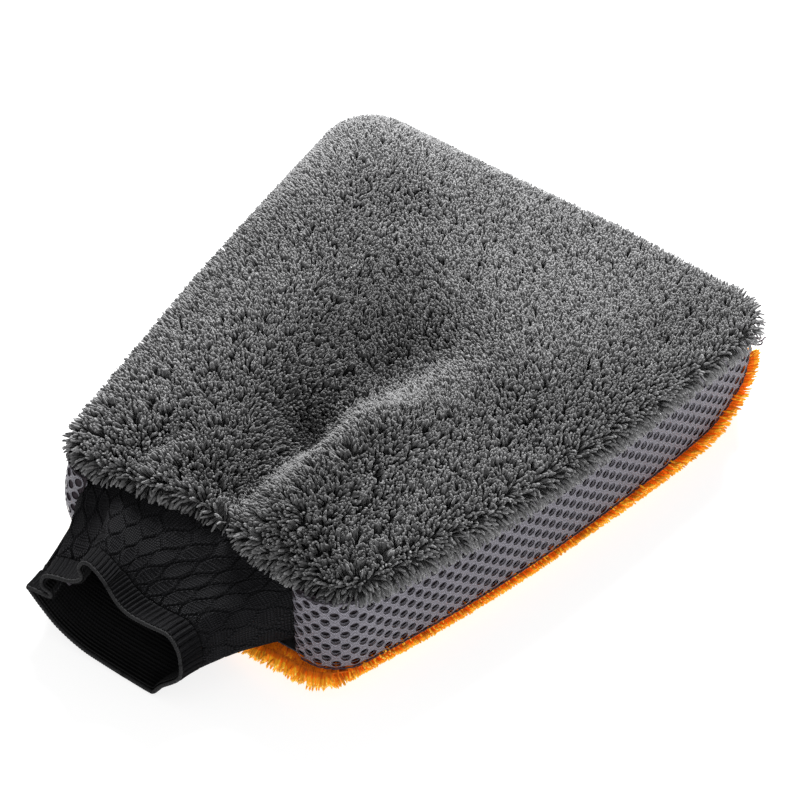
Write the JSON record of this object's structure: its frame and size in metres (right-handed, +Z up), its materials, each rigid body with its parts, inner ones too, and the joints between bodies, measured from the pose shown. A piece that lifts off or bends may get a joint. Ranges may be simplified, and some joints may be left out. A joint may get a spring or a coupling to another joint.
{
  "type": "wash mitt",
  "caption": "Plush wash mitt lying flat: folded long-pile upper panel, lower plush panel, mesh side wall, inner lining and a knitted wrist cuff with a ribbed band.",
  "frame": {"origin": "on the surface the mitt lies on, under the middle of the whole mitt", "axes": "+X across the hand towards the side whose mesh wall is seen, +Y from the cuff to the finger end, +Z up"},
  "size_m": [0.209, 0.2766, 0.0643],
  "materials": {
    "grey_plush": "matte long pile",
    "orange_plush": "matte long pile",
    "spacer_mesh": "filament mesh with a slight shine",
    "lining_cloth": "plain woven, matte",
    "black_knit": "fine jacquard knit, matte",
    "rolled_edge": "fine knit, matte",
    "elastic_yarn": "covered elastic",
    "seam_thread": "polyester thread with a slight shine"
  },
  "bodies": {
    "root": {"upper_plush_panel": "grey_plush", "lower_plush_panel": "orange_plush", "side_gusset": "spacer_mesh", "upper_lining": "lining_cloth", "lower_lining": "lining_cloth", "cuff_tube": "black_knit", "cuff_rib_band": "black_knit", "cuff_rolled_edge": "rolled_edge", "cuff_elastic_yarns": "elastic_yarn", "upper_seam_thread": "seam_thread", "lower_seam_thread": "seam_thread", "cuff_seam_thread": "seam_thread", "cuff_closing_seam": "seam_thread"}
  },
  "joints": []
}
